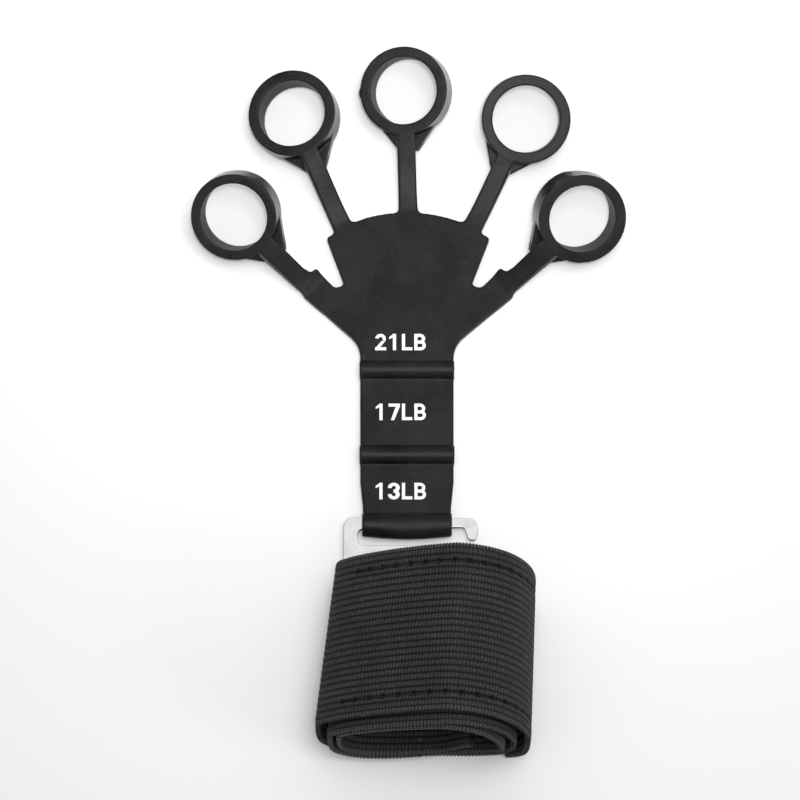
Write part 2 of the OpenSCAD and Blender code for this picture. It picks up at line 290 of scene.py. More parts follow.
def piece(name, points, faces, slot, normals=None, uvs=None, polish_and_painted_shade=None):
    """A new mesh object from points in millimetres. normals, uvs and polish are one a point."""
    mesh = bpy.data.meshes.new(name)
    mesh.from_pydata((np.asarray(points, float) * MM).tolist(), [], faces)
    mesh.update()
    mesh.shade_smooth()
    if uvs is not None:
        layer = mesh.uv_layers.new(name="UVMap")
        corner = np.zeros(len(mesh.loops), np.int64)
        mesh.loops.foreach_get("vertex_index", corner)
        layer.data.foreach_set("uv", np.asarray(uvs, np.float32)[corner].ravel())
    if polish_and_painted_shade is not None:
        layer = mesh.attributes.new("polish_and_painted_shade", "FLOAT", "POINT")
        layer.data.foreach_set("value", np.asarray(polish_and_painted_shade, np.float32))
    if normals is not None:
        mesh.normals_split_custom_set_from_vertices(np.asarray(normals, float).tolist())
    mesh.materials.append(MATERIALS[slot])
    obj = bpy.data.objects.new(name, mesh)
    bpy.context.scene.collection.objects.link(obj)
    return obj


def tube_faces(base, rings, sides, capped=True):
    """Faces of a tube whose rings of points start at number base, with its ends closed or open."""
    faces = []
    for k in range(rings - 1):
        for i in range(sides):
            a, j = base + k * sides, (i + 1) % sides
            faces.append((a + i, a + j, a + sides + j, a + sides + i))
    if capped:
        faces.append(tuple(base + i for i in reversed(range(sides))))
        faces.append(tuple(base + (rings - 1) * sides + i for i in range(sides)))
    return faces


# ---------------- distance field of the hand


def smooth_min(a, b, k):
    """The lower of two distances, with a fillet about k wide where they meet."""
    h = np.maximum(k - np.abs(a - b), 0) / k
    return np.minimum(a, b) - h * h * k / 4


def slab(flat, high, edge):
    """Distance to a flat shape given a thickness, with its edges rounded to radius edge."""
    a = flat + edge
    b = high + edge
    return np.minimum(np.maximum(a, b), 0) + np.hypot(np.maximum(a, 0), np.maximum(b, 0)) - edge


def smooth_step(x):
    x = np.clip(x, 0, 1)
    return x * x * (3 - 2 * x)


def rounded_outline(corners, steps=6):
    """Points round an outline whose corners are (x, y, fillet radius)."""
    points = []
    for i, (x, y, r) in enumerate(corners):
        here = np.array((x, y), float)
        back = unit(np.array(corners[i - 1][:2], float) - here)
        on = unit(np.array(corners[(i + 1) % len(corners)][:2], float) - here)
        if r == 0:
            points.append(here)
            continue
        half = math.acos(np.clip(back @ on, -1, 1)) / 2
        reach = r / math.tan(half)
        centre = here + unit(back + on) * r / math.sin(half)
        first = here + back * reach - centre
        last = here + on * reach - centre
        sweep = math.pi - 2 * half
        sign = 1 if first[0] * last[1] - first[1] * last[0] > 0 else -1
        for k in range(steps + 1):
            a = sign * sweep * k / steps
            c, s = math.cos(a), math.sin(a)
            points.append(centre + (first[0] * c - first[1] * s, first[0] * s + first[1] * c))
    return np.array(points)


def outline_distance(x, y, points):
    """Signed distance, in a plane, to a closed outline."""
    best = np.full(x.shape, 1e9)
    inside = np.zeros(x.shape, bool)
    for (ax, ay), (bx, by) in zip(points, np.roll(points, -1, 0)):
        ex, ey = bx - ax, by - ay
        px, py = x - ax, y - ay
        t = np.clip((px * ex + py * ey) / max(ex * ex + ey * ey, 1e-12), 0, 1)
        best = np.minimum(best, (px - t * ex) ** 2 + (py - t * ey) ** 2)
        crosses = (ay > y) != (by > y)
        if ey != 0:
            inside ^= crosses & (px < ex * (py / ey))
    return np.where(inside, -1, 1) * np.sqrt(best)


# The silicone sheet's thickness, and the rounding of its edges and of a loop's, gusset's and tunnel's.
SHEET = 3.0
EDGE = 0.5
LOOP_EDGE = 0.15
GUSSET_EDGE = 0.25
TUNNEL_EDGE = 0.45
# Fillets where gussets meet their loop, tunnels the neck, straps the palm, and loops their straps.
FILLET = 0.35
CROTCH_FILLET = 1.5
JOIN_FILLET = 0.25
LOOP_OUTER = 13.0
# How much thicker each loop's wall is than the thumb's.
LOOP_SWELL = (0.0, 0.25, 0.3, 0.4, 0.4)
LOOP_HEIGHT = MOUNTS["finger_bore_1"]["dims"]["length_mm"]
LOOP_INNER = MOUNTS["finger_bore_1"]["dims"]["r_mm"]
# The loop that keeps a stub of moulding gate on its outer wall.
GATE_MARK = 3
GATE_SIZE = (1.9, 0.9, 2.2)
GATE_DEPTH = 3.2
STRAP_WIDTH = 5.5
# How far a strap's sheet starts behind its crease, and over what length it then leaves the palm's level.
STRAP_START = 4.0
LIFT_LENGTH = 4.0
# How much wider a strap is at its crease, and how fast that fades along it.
STRAP_FLARE = 0.35
FLARE_FADE = 3.0
# How far a strap's sheet is sunk into the loop's wall.
JOIN_SUNK = 0.6
# The gussets below a strap: their foot's angle on the loop, tip, top and bottom, and inner end.
GUSSET_FOOT = math.radians(48)
GUSSET_TIP = 17.9
GUSSET_TOP = 4.4
GUSSET_BOTTOM = 8.0
GUSSET_INNER = 9.0


class Finger:
    """One finger's loop and strap, in the frames of its bore and of its crease."""

    def __init__(self, number):
        self.number = number
        bore = MOUNTS[f"finger_bore_{number}"]
        crease = JOINTS[f"finger_flex_{number}"]
        self.radius = LOOP_OUTER + LOOP_SWELL[number - 1]
        self.out = unit(np.array(bore["axis"], float))
        self.face = mm(bore["pos_m"]) + self.out * LOOP_HEIGHT / 2
        self.root = mm(crease["pos_m"])
        self.ahead = np.array((-crease["axis"][1], crease["axis"][0], 0.0))
        self.aside = np.array((-self.ahead[1], self.ahead[0], 0.0))
        home = self.root - self.face
        self.reach = unit(home - self.out * (home @ self.out))
        self.across = np.cross(self.out, self.reach)
        self.join = self.face + self.reach * (LOOP_OUTER - JOIN_SUNK) - self.out * SHEET / 2
        flat = self.join - self.root
        self.length = flat @ self.ahead
        self.drift = flat @ self.aside
        self.slope = -(self.out @ self.ahead) / self.out[2]
        self.roll = -(self.out @ self.aside) / self.out[2]

    def box(self):
        """Lowest and highest corners of a box round the loop and its strap."""
        behind, margin = 8, 15.5
        ends = np.array((self.root - self.ahead * behind, self.face, self.root, self.join))
        return ends.min(0) - margin, ends.max(0) + margin

    def middle_height(self, s):
        """Height of the strap's middle at distance s from the crease: flat at the palm, then rising."""
        t = np.clip(s / self.length, 0, 1.2)
        rise = self.join[2] - self.root[2]
        end = self.slope * self.length
        return self.root[2] + (3 * rise - end) * t**2 + (end - 2 * rise) * t**3

    def loop_distance(self, x, y, z):
        """Distance to the loop with its two gussets, and each point's distance from the bore's axis."""
        p = np.stack((x - self.face[0], y - self.face[1], z - self.face[2]), -1)
        u, v, w = p @ self.reach, p @ self.across, p @ self.out
        rho = np.hypot(u, v)
        middle, half = (self.radius + LOOP_INNER) / 2, (self.radius - LOOP_INNER) / 2
        high = np.abs(w + LOOP_HEIGHT / 2) - LOOP_HEIGHT / 2
        ring = slab(np.abs(rho - middle) - half, high, LOOP_EDGE)
        foot = LOOP_OUTER * np.array((math.cos(GUSSET_FOOT), math.sin(GUSSET_FOOT)))
        web = [(GUSSET_TIP, STRAP_WIDTH / 2), (foot[0], foot[1]), (GUSSET_INNER, foot[1] - 3)]
        web = [(a, -b) for a, b in reversed(web)] + web
        flat = np.maximum(outline_distance(u, v, np.array(web)), LOOP_INNER + 0.4 - rho)
        if self.number == GATE_MARK:
            a, b, c = GATE_SIZE
            stub = np.sqrt((u / a) ** 2 + ((v + self.radius) / b) ** 2 + ((w + GATE_DEPTH) / c) ** 2) - 1
            ring = np.minimum(ring, stub * b)
        deep = (GUSSET_BOTTOM - GUSSET_TOP) / 2
        gusset = slab(flat, np.abs(w + GUSSET_TOP + deep) - deep, GUSSET_EDGE)
        return smooth_min(ring, gusset, FILLET), rho

    def with_strap(self, x, y, z, palm_flat):
        """Distance to the palm's edge and the strap as one sheet, which rises towards the loop.

        Also returned is which points are near enough to the strap for that sheet to count."""
        q = np.stack((x - self.root[0], y - self.root[1]), -1)
        s = q @ self.ahead[:2]
        bend = smooth_step(s / self.length)
        side = q @ self.aside[:2] - self.drift * bend
        width = STRAP_WIDTH / 2 + STRAP_FLARE * np.exp(-np.maximum(s, 0) / FLARE_FADE)
        ends = np.abs(s - (self.length - STRAP_START) / 2) - (self.length + STRAP_START) / 2
        strap = np.maximum(np.abs(side) - width, ends)
        tilt = 1 + (self.out[2] - 1) * bend
        raised = np.abs(z - self.middle_height(s) - side * self.roll * bend) * tilt - SHEET / 2
        level = np.abs(z - SHEET / 2) - SHEET / 2
        lift = smooth_step(s / LIFT_LENGTH)
        flat = smooth_min(palm_flat, strap, CROTCH_FILLET)
        sheet = slab(flat, level + (raised - level) * lift, EDGE)
        near = (s > -6) & (np.abs(q @ self.aside[:2]) < 10)
        return sheet, near


FINGERS = [Finger(k) for k in range(1, 6)]
# Each cross tunnel of the neck: its middle, outer radius, bore radius and half its width.
TUNNELS = [
    (mm(MOUNTS["tunnel_21"]["pos_m"]), 2.8, MOUNTS["tunnel_21"]["dims"]["r_mm"], 14.2),
    (mm(MOUNTS["tunnel_17"]["pos_m"]), 2.8, MOUNTS["tunnel_17"]["dims"]["r_mm"], 14.2),
    (mm(JOINTS["buckle_swing"]["pos_m"]), 3.5, 2.5, 13.3),
]
# The round gutter at the foot of a tunnel's wall, and how a tunnel's bore flares at its two ends.
GUTTER_RADIUS = 0.3
BORE_FLARE = 0.35
BORE_FLARE_LENGTH = 1.2
# How far the end tunnel's wall is bowed out in its middle.
END_BOW = 0.9
NECK_HALF = 13.95
PALM_MIDDLE = TUNNELS[0][0][0]
PALM_BASE = TUNNELS[0][0][1] - 9.4
# The arc along the palm's top edge: its radius, height of its middle, and half its span in degrees.
TOP_ARC_RADIUS = 44.2
TOP_ARC_MIDDLE = 15.7
TOP_ARC_HALF = 22
# The palm's left side is a little narrower than its right side.
LEFT_SIDE = 0.97


def palm_outline():
    """The palm and neck seen from above: one side as corners, the other its mirror image."""
    end = TUNNELS[2][0][1] - PALM_BASE
    side = [
        (NECK_HALF - 1.0, end, 0),
        (NECK_HALF - 0.9, end + 6, 6),
        (NECK_HALF - 0.1, end + 14, 10),
        (NECK_HALF, 17.6, 9),
        (31.6, 33.1, 0),
        (31.2, 40.0, 0),
        (29.8, 39.9, 0.9),
        (28.0, 41.5, 0.9),
        (22.2, 35.6, 1.6),
        (19.3, 36.6, 1.2),
        (24.9, 51.7, 0.8),
        (21.3, 53.7, 0.7),
        (21.0, 55.2, 0),
    ]
    arc = [(TOP_ARC_RADIUS * math.sin(a), TOP_ARC_MIDDLE + TOP_ARC_RADIUS * math.cos(a), 0)
           for a in np.radians(np.arange(TOP_ARC_HALF, -1, -3))]
    right = side + arc
    left = []
    for x, y, r in reversed(right):
        if x > 0.5:
            left.append((-x if x < NECK_HALF + 0.1 else -x * LEFT_SIDE, y, r))
    return rounded_outline(right + left) + (PALM_MIDDLE, PALM_BASE)


def palm_flat(x, y):
    """Distance to the palm's outline, in its plane."""
    return outline_distance(x[:, :, 0], y[:, :, 0], palm_outline())[:, :, None]


def hand_distance(x, y, z):
    """The palm and neck's own distance field, with the tunnels across the neck."""
    d = slab(palm_flat(x, y), np.abs(z - SHEET / 2) - SHEET / 2, EDGE)
    for number, (middle, outer, bore, half) in enumerate(TUNNELS):
        near = np.abs(y[0, :, 0] - middle[1]) < outer + 3
        cut = (slice(None), near)
        across = x[cut] - middle[0]
        down = y[cut] - middle[1]
        stretch = 1.0
        if number == len(TUNNELS) - 1:
            bow = END_BOW * (1 - (across / half) ** 2)
            stretch = np.where(down < 0, 1 - bow / (outer + END_BOW), 1.0)
        rho = np.hypot(down, z[cut] - middle[2])
        skin = np.hypot(down * stretch, z[cut] - middle[2]) - outer
        tube = slab(skin, np.abs(across) - half, TUNNEL_EDGE)
        gutter = np.hypot(down - outer - 0.1, z[cut] - SHEET - 0.05) - GUTTER_RADIUS
        joined = smooth_min(np.maximum(d[cut], -gutter), tube, FILLET)
        flare = BORE_FLARE * smooth_step((np.abs(across) - half + 1) / BORE_FLARE_LENGTH)
        d[cut] = np.maximum(joined, bore - rho + flare)
    return d


VOXEL = 0.42
# Boxes round the whole hand, and round its palm and neck.
HAND_BOX = (-67, -45, -1.2), (67, 114, 26)
PALM_BOX = (-34, -45, -1.2), (34, 64, 9)


def cell_beside(at, axes, step):
    """The cells that lie a step back along two axes from grid points, as an index."""
    cell = at.copy()
    cell[:, axes] -= step
    return tuple(cell.T)


class Field:
    """A distance field sampled on a grid."""

    def __init__(self, lo, hi, step):
        self.lo, self.step = np.array(lo, float), step
        counts = np.ceil((np.array(hi) - self.lo) / step).astype(int) + 1
        self.axes = [self.lo[i] + step * np.arange(counts[i]) for i in range(3)]
        self.values = np.full(counts, 9.0, np.float32)

    def part(self, lo, hi):
        """Slices of the grid that hold a box, and the grid's points there."""
        cut = []
        for axis, a, b in zip(self.axes, lo, hi):
            first, last = np.searchsorted(axis, (a, b))
            cut.append(slice(max(first, 0), min(last, len(axis))))
        points = np.meshgrid(*(axis[c] for axis, c in zip(self.axes, cut)), indexing="ij")
        return tuple(cut), points

    def sample(self, p):
        """The field at points, from the eight grid values round each."""
        g = (p - self.lo) / self.step
        i = np.clip(np.floor(g).astype(int), 0, np.array(self.values.shape) - 2)
        f = g - i
        total = np.zeros(len(p))
        for corner in np.ndindex(2, 2, 2):
            share = np.prod(np.where(corner, f, 1 - f), 1)
            total += share * self.values[tuple((i + corner).T)]
        return total

    def slope(self, p):
        """The field's gradient at points."""
        half = self.step * 0.6
        g = np.zeros_like(p)
        for k in range(3):
            shift = np.zeros(3)
            shift[k] = half
            g[:, k] = (self.sample(p + shift) - self.sample(p - shift)) / (2 * half)
        return g

    def surface(self):
        """The zero surface as points and four-sided faces: one point in each cell that it crosses."""
        shape = np.array(self.values.shape) - 1
        total = np.zeros((*shape, 3), np.float32)
        count = np.zeros(tuple(shape), np.int16)
        crossings = []
        for axis in range(3):
            ends = (slice(None, -1), slice(1, None))
            cuts = [tuple(end if k == axis else slice(None) for k in range(3)) for end in ends]
            change = (self.values[cuts[0]] < 0) != (self.values[cuts[1]] < 0)
            low, high = (self.values[cut][change] for cut in cuts)
            at = np.argwhere(change)
            crossings.append((at, low < 0))
            point = at.astype(np.float32)
            point[:, axis] += low / (low - high)
            for step in np.ndindex(2, 2):
                cell = cell_beside(at, [k for k in range(3) if k != axis], step)
                np.add.at(total, cell, point)
                np.add.at(count, cell, 1)
        used = tuple(np.argwhere(count > 0).T)
        index = np.full(tuple(shape), -1, np.int64)
        index[used] = np.arange(len(used[0]))
        points = total[used] / count[used][:, None] * self.step + self.lo
        faces = []
        for axis, (at, leaving) in enumerate(crossings):
            turn = [(axis + 1) % 3, (axis + 2) % 3]
            steps = ((0, 0), (1, 0), (1, 1), (0, 1))
            quad = np.stack([index[cell_beside(at, turn, step)] for step in steps], 1)
            quad[~leaving] = quad[~leaving][:, ::-1]
            faces.append(quad)
        return points, np.concatenate(faces)


def hand_skin():
    """Points, faces and normals of the whole silicone hand."""
    field = Field(*HAND_BOX, VOXEL)
    cut, grid = field.part(*PALM_BOX)
    field.values[cut] = hand_distance(*grid)
    for finger in FINGERS:
        cut, grid = field.part(*finger.box())
        loop, rho = finger.loop_distance(*grid)
        sheet, near = finger.with_strap(*grid, palm_flat(*grid[:2]))
        sheet = np.maximum(sheet, LOOP_INNER + 0.3 - rho)
        before = field.values[cut]
        hand = np.where(near, sheet, before)
        joined = smooth_min(hand, loop, JOIN_FILLET)
        field.values[cut] = np.where(near, joined, np.minimum(hand, loop))
    points, faces = field.surface()
    for _ in range(2):
        slope = field.slope(points)
        size = np.maximum((slope**2).sum(1), 0.05)
        points = points - slope * np.clip(field.sample(points) / size, -0.3, 0.3)[:, None]
    normals = field.slope(points)
    return points, faces, normals / np.maximum(np.linalg.norm(normals, axis=1), 1e-6)[:, None]


# Where the skin is cut into pieces: above a tunnel's middle, ahead of a finger's crease, at half the
# strap's length, and so far from the loop's axis. A finger owns the faces near its loop or its strap.
BAND_CUT = 3.6
CREASE_CUT = 0.4
STUB_END = 15.0
LOOP_OWNS = 20.5
STRAP_OWNS = 4.6


def regions(middles):
    """Which piece each face of the hand belongs to: palm, necks, and each finger's root, tip and loop."""
    names = np.full(len(middles), "palm", dtype="U12")
    names[middles[:, 1] < TUNNELS[0][0][1] + BAND_CUT] = "neck_17"
    names[middles[:, 1] < TUNNELS[1][0][1] + BAND_CUT] = "neck_13"
    for f in FINGERS:
        q = middles - f.root
        s = q @ f.ahead
        side = q @ f.aside - f.drift * smooth_step(s / f.length)
        reach = (middles - f.face) @ f.reach
        at_loop = np.linalg.norm(middles - f.face, axis=1) < LOOP_OWNS
        mine = (s > CREASE_CUT) & (at_loop | (np.abs(side) < STRAP_OWNS))
        far_half = s > f.length / 2
        names[mine & ~far_half] = f"root_{f.number}"
        names[mine & far_half] = f"tip_{f.number}"
        names[mine & far_half & (reach < STUB_END + 0.1)] = f"loop_{f.number}"
    return names


def wall_polish(points, normals):
    """How polished the silicone is at each point: 1 on the outer walls of the loops, else 0."""
    polish_and_painted_shade = np.zeros(len(points))
    for f in FINGERS:
        p = points - f.face
        rho = np.linalg.norm(p - np.outer(p @ f.out, f.out), axis=1)
        near = (np.linalg.norm(p, axis=1) < f.radius + 4) & (rho > LOOP_INNER + 1.5)
        wall = 1 - smooth_step((np.abs(normals @ f.out) - 0.3) / 0.3)
        polish_and_painted_shade = np.where(near, wall, polish_and_painted_shade)
    return polish_and_painted_shade


def build_hand():
    """The silicone's pieces: the palm and the loops ride on their bodies, and the necks and the straps' roots and
    tips stay fixed in place.
    """
    points, faces, normals = hand_skin()
    names = regions(points[faces].mean(1))
    polish_and_painted_shade = wall_polish(points, normals)

    def part(region, name):
        mine = faces[names == region]
        used, flat = np.unique(mine, return_inverse=True)
        quads = flat.reshape(-1, 4).tolist()
        return piece(name, points[used], quads, "silicone", normals[used], polish_and_painted_shade=polish_and_painted_shade[used])

    palm = part("palm", "silicone_palm")
    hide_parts("palm_plate")
    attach(palm, "palm")
    for k, (upper, lower) in enumerate((("palm", "neck_17"), ("neck_17", "neck_13"))):
        skin = part(lower, f"silicone_{lower}")
        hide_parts(f"band_{lower[-2:]}")
        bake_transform(skin)
    for f in FINGERS:
        k = f.number
        root = part(f"root_{k}", f"silicone_strap_root_{k}")
        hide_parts(f"finger_strap_{k}")
        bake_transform(root)
        tip = part(f"tip_{k}", f"silicone_strap_tip_{k}")
        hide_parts(f"finger_strap_{k}")
        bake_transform(tip)
        loop = part(f"loop_{k}", f"silicone_loop_{k}")
        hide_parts(f"finger_loop_{k}")
        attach(loop, f"finger_loop_{k}")


build_hand()

# ---------------- steel buckle


def edge_rings(loop, outward, low, high, radius):
    """Rings of points up a stamped edge with rolled-over corners, and their normals.

    outward is 1 where the metal lies inside the loop and -1 where it lies outside."""
    loop = np.array(loop)
    ahead = np.roll(loop, -1, 0) - np.roll(loop, 1, 0)
    ahead /= np.linalg.norm(ahead, axis=1)[:, None]
    area = np.sum(loop[:, 0] * np.roll(loop[:, 1], -1) - loop[:, 1] * np.roll(loop[:, 0], -1))
    out = np.stack((ahead[:, 1], -ahead[:, 0]), 1) * np.sign(area) * outward
    rings, normals = [], []
    for middle, angles in ((low + radius, (-90, -45, 0)), (high - radius, (0, 45, 90))):
        for a in np.radians(angles):
            flat = loop - out * radius * (1 - math.cos(a))
            rings.append(np.column_stack((flat, np.full(len(loop), middle + radius * math.sin(a)))))
            normals.append(np.column_stack((out * math.cos(a), np.full(len(loop), math.sin(a)))))
    return rings, normals


def build_buckle():
    """The plate's outline with its open hook, its webbing slot, and rolled-over stamped edges."""
    lo, hi = (mm(c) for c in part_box("hook_buckle"))
    left, right, bottom, top = lo[0], hi[0], lo[1], hi[1]
    post, arm, lower_bar, mouth, corner = 4.1, 3.55, 3.5, 1.8, 0.1
    bar_top, bar_bottom = top - 8.9, top - 12.7
    arm_low, tip_low = top - arm, bar_top + mouth
    outer = [
        (left, bottom, 2),
        (right, bottom, 2),
        (right, bar_top, 1.2),
        (left + post, bar_top, 1.8),
        (left + post, arm_low - 0.1, 1.8),
        (right - 4.2, arm_low + 0.4, 1.3),
        (right - 2.8, tip_low - 0.05, 1.1),
        (right - 0.7, tip_low, 1.1),
        (right, arm_low - 0.6, 5),
        (right - 0.7, top - 0.4, 2.6),
        (left, top, 2.9),
    ]
    slot = [
        (left + post, bottom + lower_bar, 1.2),
        (right - post, bottom + lower_bar, 1.2),
        (right - post, bar_bottom, 1.2),
        (left + post, bar_bottom, 1.2),
    ]
    points, normals, polish_and_painted_shade, faces, caps = [], [], [], [], []
    for loop, outward in ((rounded_outline(outer, 8), 1), (rounded_outline(slot, 8), -1)):
        rings, ring_normals = edge_rings(loop, outward, lo[2], hi[2], corner)
        base = sum(len(p) for p in points)
        count = len(loop)
        faces += tube_faces(base, len(rings), count, capped=False)
        points += rings
        normals += ring_normals
        # 1 on the flat faces and 0 down the edge walls, which the steel paints dark as painted shade.
        polish_and_painted_shade += [np.full(count, float(k in (0, len(rings) - 1))) for k in range(len(rings))]
        caps.append((base, rings[-1], base + (len(rings) - 1) * count))
    triangles = tessellate_polygon([[Vector(p) for p in cap[1]] for cap in caps])
    lower = [base + i for base, ring, _ in caps for i in range(len(ring))]
    upper = [base + i for _, ring, base in caps for i in range(len(ring))]
    faces += [tuple(upper[i] for i in t) for t in triangles]
    faces += [tuple(lower[i] for i in reversed(t)) for t in triangles]
    points, normals, polish_and_painted_shade = (np.concatenate(rows) for rows in (points, normals, polish_and_painted_shade))
    buckle = piece("steel_hook_buckle", points, faces, "steel", normals, polish_and_painted_shade=polish_and_painted_shade)
    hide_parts("hook_buckle")
    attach(buckle, "buckle")


build_buckle()

# ---------------- rolled wrist strap

ROLL_YAW = math.radians(4.5)
# Turns, in degrees inwards: the strap's free end, where that end peels off, the end of the hook tape,
# the strap's inner end, and the first and last turns that the tables below reach.
FREE_END, PEEL, TAPE_END, INNER_END = -55.0, 2.0, 150.0, 1056.0
TABLE_TURNS = (-88, 1079)
# Distance from the roll's middle to the strap's outer face at each quarter turn inwards.
ROLL = [26, 31.5, 26, 31.4, 24, 27.4, 20.5, 27.7, 19.6, 24.1, 18.2, 25.2, 17.5, 16.5]
# Bend of each quarter: 1 is straight, 2 is round and 5 is nearly square.
BEND = [5, 1.8, 1.25, 5, 5, 1.8, 1.3, 5, 5, 1.8, 1.3, 5, 2]
# How far the roll's crown leans to the right, and how much narrower the roll is at its far end.
CROWN_LEAN = 7.0
TAPER = 0.07
PEEL_AT = mm(JOINTS["end_peel"]["pos_m"])
AXIS = np.array((math.sin(ROLL_YAW), math.cos(ROLL_YAW), 0.0))
SIDEWAYS = np.array((math.cos(ROLL_YAW), -math.sin(ROLL_YAW), 0.0))
# The half step in turns that slopes along the cloth are taken over.
NUDGE = 0.4
# How far the strap's inner end springs up off the turn below it, and the last turns that do so.
INNER_LIFT = 3.5
LIFTED_TURNS = 50
# How far the inner turns stand out of the roll's near end, and the turns that they do so over.
TELESCOPE = 3.5
TELESCOPE_TURNS = (200.0, 560.0)
# How far the near edge of the outer turn, and of the inner ones, is drawn in low on the right.
DRAWN_IN = (1.5, 6.5)
# How high the cloth lies above the floor at the least.
FLOOR_GAP = 0.12


def roll_face(turn):
    """The strap's outer face across the roll, at turns in degrees: superellipse quarters."""
    turn = np.atleast_1d(np.asarray(turn, float))
    q = np.floor((turn + 90) / 90).astype(int)
    s = np.radians(turn + 90 - 90 * q)
    n = np.array(BEND, float)[q]
    radius = np.array(ROLL, float)
    a = radius[q] * np.maximum(np.cos(s), 0) ** (2 / n)
    b = radius[q + 1] * np.maximum(np.sin(s), 0) ** (2 / n)
    face = np.radians((q % 4) * 90 - 90)
    x = a * np.cos(face) - b * np.sin(face)
    z = a * np.sin(face) + b * np.cos(face)
    top = np.where(q % 4 == 1, radius[q + 1], radius[q])
    return np.stack((x + CROWN_LEAN * (np.maximum(z, 0) / top) ** 2, z), 1)


ROLL_MIDDLE = PEEL_AT - SIDEWAYS * roll_face(PEEL)[0][0] - np.array((0, 0, roll_face(PEEL)[0][1]))
ROLL_MIDDLE = ROLL_MIDDLE - AXIS * ELASTIC_WIDTH / 2


def roll_walk(first, last, step):
    """Turns spaced evenly along the cloth, and the cloth's length up to each."""
    fine = np.linspace(first, last, 6000)
    p = roll_face(fine)
    run = np.concatenate(([0], np.cumsum(np.linalg.norm(np.diff(p, axis=0), axis=1))))
    count = max(2, int(round(run[-1] / step)))
    length = np.linspace(0, run[-1], count + 1)
    return np.interp(length, run, fine), length


def in_roll(turn, depth, across):
    """Points in the frame: depth under the strap's outer face, and across its width from the near edge."""
    turn = np.asarray(turn, float)
    face = roll_face(turn.ravel())
    along = roll_face(turn.ravel() + NUDGE) - roll_face(turn.ravel() - NUDGE)
    along /= np.linalg.norm(along, axis=1)[:, None]
    depth = np.broadcast_to(depth, turn.shape).ravel()
    across = np.broadcast_to(across, turn.shape).ravel()
    x = face[:, 0] - along[:, 1] * depth
    z = face[:, 1] + along[:, 0] * depth
    x = x * (1 - TAPER * across / ELASTIC_WIDTH)
    first, last = TELESCOPE_TURNS
    inner = smooth_step((turn.ravel() - first) / (last - first))
    low = 1 - smooth_step((z + ROLL[0]) / 30)
    right = smooth_step((x + 22) / 50)
    drawn = (DRAWN_IN[0] + (DRAWN_IN[1] - DRAWN_IN[0]) * inner) * low * right
    slid = across - TELESCOPE * inner + drawn * (1 - across / ELASTIC_WIDTH)
    z = z + INNER_LIFT * smooth_step((turn.ravel() - INNER_END + LIFTED_TURNS) / LIFTED_TURNS)
    z = np.maximum(z, FLOOR_GAP - ROLL_MIDDLE[2])
    return ROLL_MIDDLE + x[:, None] * SIDEWAYS + slid[:, None] * AXIS + z[:, None] * (0, 0, 1)


def rib_height(across, rib, deep):
    """How far a rib's back stands below the crown: a round crown and a narrow groove."""
    lane = np.abs((across / rib) % 1 - 0.5) * 2
    return deep * lane**4


def strip_faces(rows, cols):
    """Four-sided faces of a strip with an outer and an inner skin, closed all round."""
    grid = np.arange(rows * cols).reshape(rows, cols)
    below = grid + rows * cols
    quads = [
        (grid[:-1, :-1], grid[:-1, 1:], grid[1:, 1:], grid[1:, :-1]),
        (below[:-1, :-1], below[1:, :-1], below[1:, 1:], below[:-1, 1:]),
    ]
    rims = [(grid[:, 0], below[:, 0]), (below[:, -1], grid[:, -1])]
    rims += [(below[0], grid[0]), (grid[-1], below[-1])]
    quads += [(a[:-1], a[1:], b[1:], b[:-1]) for a, b in rims]
    return np.concatenate([np.stack(quad, -1).reshape(-1, 4) for quad in quads]).tolist()


def cloth(name, outer, inner, along, across, slot):
    """A strip of cloth from its two skins, with its UV in millimetres along and across."""
    uv = np.stack((along.ravel(), across.ravel()), 1)
    points = np.concatenate((outer, inner))
    return piece(name, points, strip_faces(*along.shape), slot, uvs=np.concatenate((uv, uv)))


def ragged(length, across, end, rng):
    """How much farther the cloth's yarns run past a cut end, fading out a little inside it."""
    tufts, fade = 40, 2.0
    torn = np.interp(across[0], np.linspace(0, ELASTIC_WIDTH, tufts), rng.uniform(-0.5, 0.9, tufts))
    torn += 0.8 * np.sin(across[0] / 7.3) * np.exp(-across[0] / 12)
    return torn[None, :] * np.clip(1 - np.abs(length - end) / fade, 0, 1)


def stitch_pits(along, across):
    """How deep the rows of stitches and their needle holes draw the elastic's outer face in."""
    stitch = along / STITCH_PITCH
    from_hole = (stitch - np.round(stitch)) * STITCH_PITCH
    pit = 0.0
    for row in (STITCH_ROW, ELASTIC_WIDTH - STITCH_ROW):
        furrow = 0.6 * np.exp(-(((across - row) / 0.5) ** 2))
        hole = 0.75 * np.exp(-((np.hypot(from_hole, across - row) / 0.75) ** 2))
        pit = pit + (furrow + hole) * (along < STITCHED_LENGTH)
    return pit


